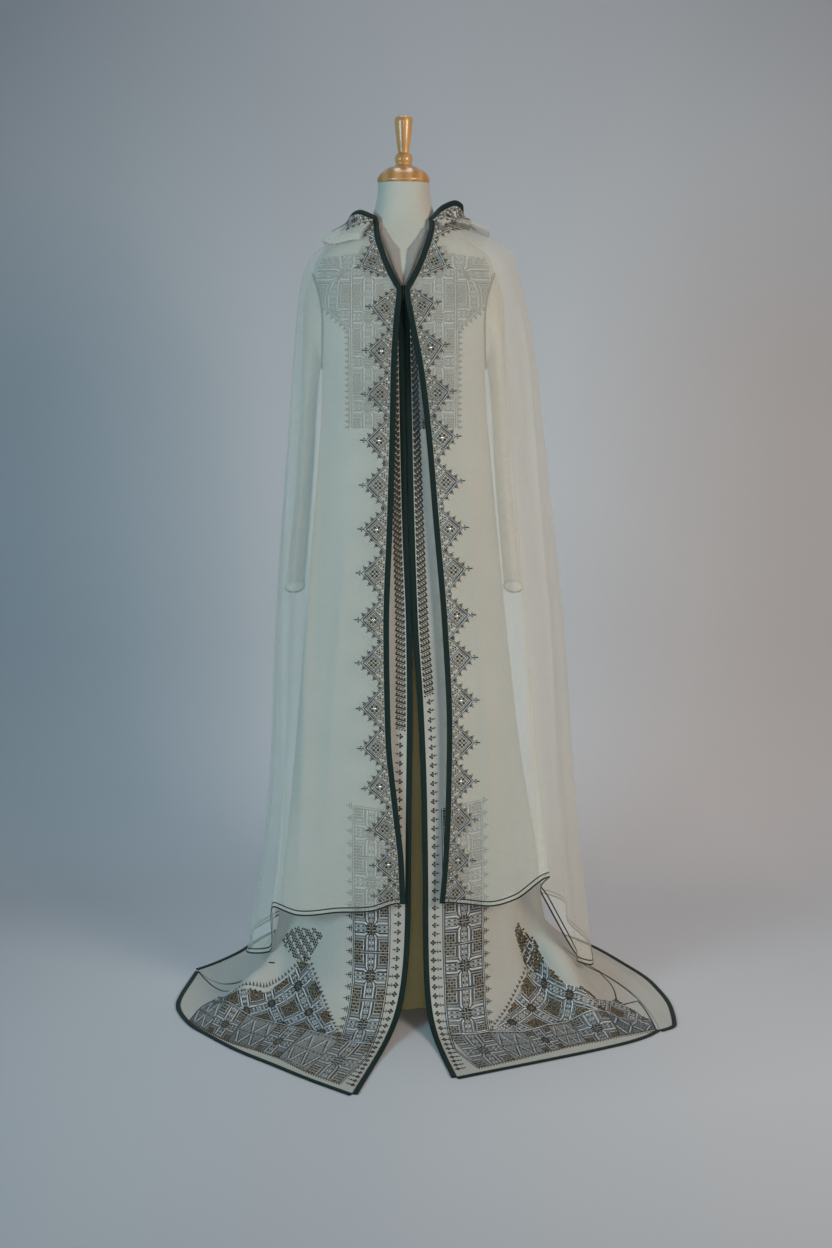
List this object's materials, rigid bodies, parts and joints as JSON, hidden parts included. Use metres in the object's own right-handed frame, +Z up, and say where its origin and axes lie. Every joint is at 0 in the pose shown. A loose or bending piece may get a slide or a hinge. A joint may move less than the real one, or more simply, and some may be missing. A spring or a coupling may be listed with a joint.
{
  "type": "caftan on a limbless dress form",
  "caption": "Long two-layer caftan with a sheer hooded cape over an open robe that spreads on the floor, worn by a limbless dress form.",
  "frame": {"origin": "on the floor, on the axis of the form's pole, at the middle of the base's flat underside", "axes": "+Z up along the form's pole, -Y the way the garment faces, +X to the right as seen from the front"},
  "size_m": [0.9444, 0.925, 1.65],
  "materials": {
    "form_cover": "matt cream cotton cover",
    "form_wood": "turned and varnished",
    "form_metal": "satin",
    "robe_cloth": "soft cream crepe with dark stitched pattern",
    "sleeve_cloth": "sheer cream chiffon",
    "cape_cloth": "sheer cream chiffon with a dark stitched border",
    "lining_cloth": "plain olive-toned cream satin",
    "dark_braid": "dark green-black silk braid"
  },
  "bodies": {
    "root": {"form_torso": "form_cover", "form_knob": "form_wood", "form_pole": "form_metal", "form_base": "form_metal", "underskirt": "lining_cloth", "robe_front_left": "robe_cloth", "robe_front_right": "robe_cloth", "robe_back": "robe_cloth", "robe_sleeve_left": "sleeve_cloth", "robe_sleeve_right": "sleeve_cloth", "robe_braid_left": "dark_braid", "robe_braid_right": "dark_braid", "robe_hem_cord_left": "dark_braid", "robe_hem_cord_right": "dark_braid", "robe_hem_cord_back": "dark_braid", "cape_left": "cape_cloth", "cape_right": "cape_cloth", "cape_braid_left": "dark_braid", "cape_braid_right": "dark_braid", "hood": "cape_cloth", "hood_braid": "dark_braid"}
  },
  "joints": []
}
